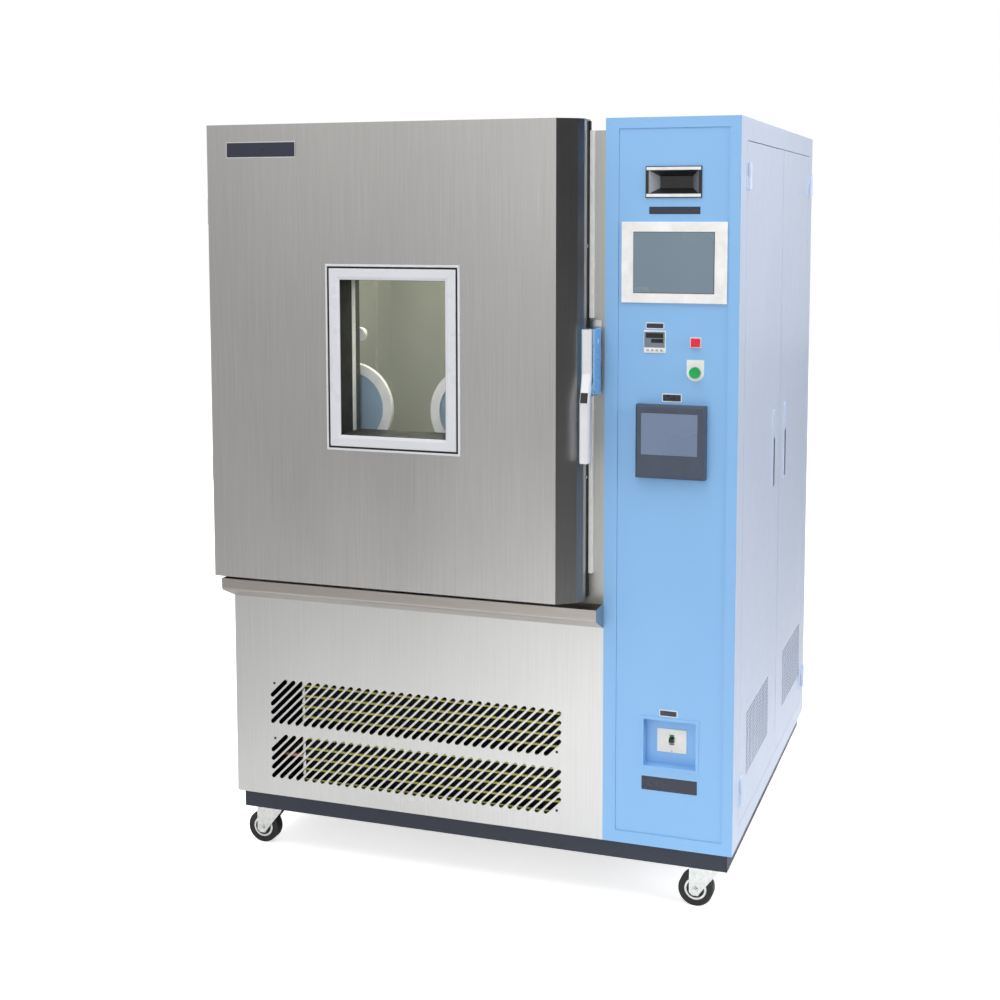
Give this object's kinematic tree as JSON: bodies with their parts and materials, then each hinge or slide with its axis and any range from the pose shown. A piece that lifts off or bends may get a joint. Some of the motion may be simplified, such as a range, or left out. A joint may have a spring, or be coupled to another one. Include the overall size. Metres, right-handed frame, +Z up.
{
  "type": "environmental test chamber",
  "caption": "Stainless climatic test chamber on casters with a windowed front door, an inner glass door with hand ports, a slotted refrigeration bay and a tall control cabinet.",
  "frame": {"origin": "middle of the underside of the bounding box, on the floor under the casters", "axes": "+Z up along the height, the control panel and the door face -Y, +X to the viewer's right"},
  "size_m": [1.191, 1.1236, 1.67],
  "materials": {
    "painted_dark": "satin paint",
    "painted_blue": "satin paint",
    "painted_pale": "satin paint",
    "stainless": "brushed",
    "stainless_inner": "bright rolled",
    "zinc": "bright zinc",
    "aluminium_bright": "satin",
    "aluminium_fins": "bare",
    "copper_pipe": "drawn",
    "foam": "foamed",
    "seal_rubber": "matt",
    "port_rubber": "matt",
    "cover_rubber": "matt",
    "wheel_rubber": "matt",
    "pane_glass": "clear",
    "white_plastic": "matt",
    "black_plastic": "matt",
    "grey_plastic": "matt",
    "gear_plastic": "matt",
    "ivory_plastic": "matt",
    "red_plastic": "gloss",
    "green_plastic": "gloss"
  },
  "bodies": {
    "cabinet": {"base_frame": "painted_dark", "caster_plates": "zinc", "body_panels": "stainless", "front_lower_panel": "stainless", "chamber_insulation": "foam", "chamber_liner": "stainless_inner", "drip_gutter": "stainless", "door_mounts": "stainless", "wire_shelves": "stainless_inner", "plenum_baffle": "stainless_inner", "evaporator_coil": "aluminium_fins", "fan_motor": "painted_dark", "condenser_coil": "aluminium_fins", "condenser_shroud": "painted_dark", "compressor": "painted_dark", "refrigerant_pipes": "copper_pipe", "control_cabinet_shell": "painted_blue", "front_control_panel": "painted_blue", "display_hood": "white_plastic", "touch_panel": "white_plastic", "overheat_controller": "grey_plastic", "switch_cases": "white_plastic", "recorder": "grey_plastic", "breaker_recess": "painted_blue", "main_breaker": "ivory_plastic", "electrical_gear": "gear_plastic", "wall_fittings": "white_plastic"},
    "door": {"door_skin": "stainless", "door_insulation": "foam", "door_inner_panel": "stainless_inner", "door_gasket": "port_rubber", "window_frame": "aluminium_bright", "window_seal": "seal_rubber", "window_glass": "pane_glass", "door_hinges": "stainless", "handle_housing": "zinc"},
    "door_handle": {"handle_lever": "zinc", "lever_insert": "black_plastic"},
    "inner_door": {"inner_door_glass": "pane_glass", "inner_door_fittings": "white_plastic", "arm_port_covers": "cover_rubber"},
    "side_door_a": {"side_door_front": "painted_pale"},
    "side_door_b": {"side_door_rear": "painted_pale"},
    "side_handle_a": {"side_paddle_front": "zinc"},
    "side_handle_b": {"side_paddle_rear": "zinc"},
    "red_switch_cap": {"red_switch": "red_plastic"},
    "green_button_cap": {"green_button": "green_plastic"},
    "toggle": {"breaker_toggle": "black_plastic"},
    "air_fan": {"circulation_fan": "aluminium_bright"},
    "cooling_fan": {"condenser_fan": "aluminium_bright"},
    "port_plug": {"cable_port_plug": "port_rubber"},
    "fork_front_left": {"caster_fork_front_left": "zinc"},
    "wheel_front_left": {"caster_wheel_front_left": "wheel_rubber"},
    "fork_front_right": {"caster_fork_front_right": "zinc"},
    "wheel_front_right": {"caster_wheel_front_right": "wheel_rubber"},
    "fork_rear_left": {"caster_fork_rear_left": "zinc"},
    "wheel_rear_left": {"caster_wheel_rear_left": "wheel_rubber"},
    "fork_rear_right": {"caster_fork_rear_right": "zinc"},
    "wheel_rear_right": {"caster_wheel_rear_right": "wheel_rubber"}
  },
  "joints": [
    {"name": "door_swing", "type": "hinge", "parent": "cabinet", "child": "door", "pos_m": [-0.587, -0.48817, 0.668], "axis": [0, 0, -1], "range_deg": [0, 120]},
    {"name": "handle_lift", "type": "hinge", "parent": "door", "child": "door_handle", "pos_m": [0.273, -0.50317, 1.215], "axis": [-1, 0, 0], "range_deg": [0, 50]},
    {"name": "inner_door_swing", "type": "hinge", "parent": "cabinet", "child": "inner_door", "pos_m": [-0.463, -0.44117, 0.77], "axis": [0, 0, -1], "range_deg": [0, 90]},
    {"name": "side_door_a_swing", "type": "hinge", "parent": "cabinet", "child": "side_door_a", "pos_m": [0.5905, -0.39817, 0.18], "axis": [0, 0, -1], "range_deg": [0, 110]},
    {"name": "side_door_b_swing", "type": "hinge", "parent": "cabinet", "child": "side_door_b", "pos_m": [0.5905, 0.47183, 0.18], "axis": [0, 0, 1], "range_deg": [0, 110]},
    {"name": "side_handle_a_pull", "type": "hinge", "parent": "side_door_a", "child": "side_handle_a", "pos_m": [0.58, -0.01917, 0.952], "axis": [0, -1, 0], "range_deg": [0, 45]},
    {"name": "side_handle_b_pull", "type": "hinge", "parent": "side_door_b", "child": "side_handle_b", "pos_m": [0.58, 0.14083, 0.952], "axis": [0, -1, 0], "range_deg": [0, 45]},
    {"name": "red_switch_press", "type": "slide", "parent": "cabinet", "child": "red_switch_cap", "axis": [0, 1, 0], "range_m": [0, 0.0025]},
    {"name": "green_button_press", "type": "slide", "parent": "cabinet", "child": "green_button_cap", "axis": [0, 1, 0], "range_m": [0, 0.003], "stiffness_N_per_m": 800, "springref_m": -0.002},
    {"name": "breaker_switch", "type": "hinge", "parent": "cabinet", "child": "toggle", "pos_m": [0.44925, -0.43467, 0.3655], "axis": [1, 0, 0], "range_deg": [0, 24]},
    {"name": "air_fan_spin", "type": "hinge", "parent": "cabinet", "child": "air_fan", "pos_m": [-0.145, 0.21683, 1.44], "axis": [0, 1, 0], "continuous": true},
    {"name": "cooling_fan_spin", "type": "hinge", "parent": "cabinet", "child": "cooling_fan", "pos_m": [-0.095, -0.33117, 0.3465], "axis": [0, 1, 0], "continuous": true},
    {"name": "port_plug_pull", "type": "slide", "parent": "cabinet", "child": "port_plug", "axis": [-1, 0, 0], "range_m": [0, 0.06]},
    {"name": "swivel_front_left", "type": "hinge", "parent": "cabinet", "child": "fork_front_left", "pos_m": [-0.513, -0.40617, 0.1], "axis": [0, 0, 1], "continuous": true},
    {"name": "roll_front_left", "type": "hinge", "parent": "fork_front_left", "child": "wheel_front_left", "pos_m": [-0.538, -0.40617, 0.0375], "axis": [0, 1, 0], "continuous": true},
    {"name": "swivel_front_right", "type": "hinge", "parent": "cabinet", "child": "fork_front_right", "pos_m": [0.523, -0.40617, 0.1], "axis": [0, 0, 1], "continuous": true},
    {"name": "roll_front_right", "type": "hinge", "parent": "fork_front_right", "child": "wheel_front_right", "pos_m": [0.498, -0.40617, 0.0375], "axis": [0, 1, 0], "continuous": true},
    {"name": "swivel_rear_left", "type": "hinge", "parent": "cabinet", "child": "fork_rear_left", "pos_m": [-0.513, 0.46983, 0.1], "axis": [0, 0, 1], "continuous": true},
    {"name": "roll_rear_left", "type": "hinge", "parent": "fork_rear_left", "child": "wheel_rear_left", "pos_m": [-0.538, 0.46983, 0.0375], "axis": [0, 1, 0], "continuous": true},
    {"name": "swivel_rear_right", "type": "hinge", "parent": "cabinet", "child": "fork_rear_right", "pos_m": [0.523, 0.46983, 0.1], "axis": [0, 0, 1], "continuous": true},
    {"name": "roll_rear_right", "type": "hinge", "parent": "fork_rear_right", "child": "wheel_rear_right", "pos_m": [0.498, 0.46983, 0.0375], "axis": [0, 1, 0], "continuous": true}
  ],
  "couplings": [
    {"joint": "inner_door_swing", "follows": "door_swing", "ratio": 0.75}
  ]
}
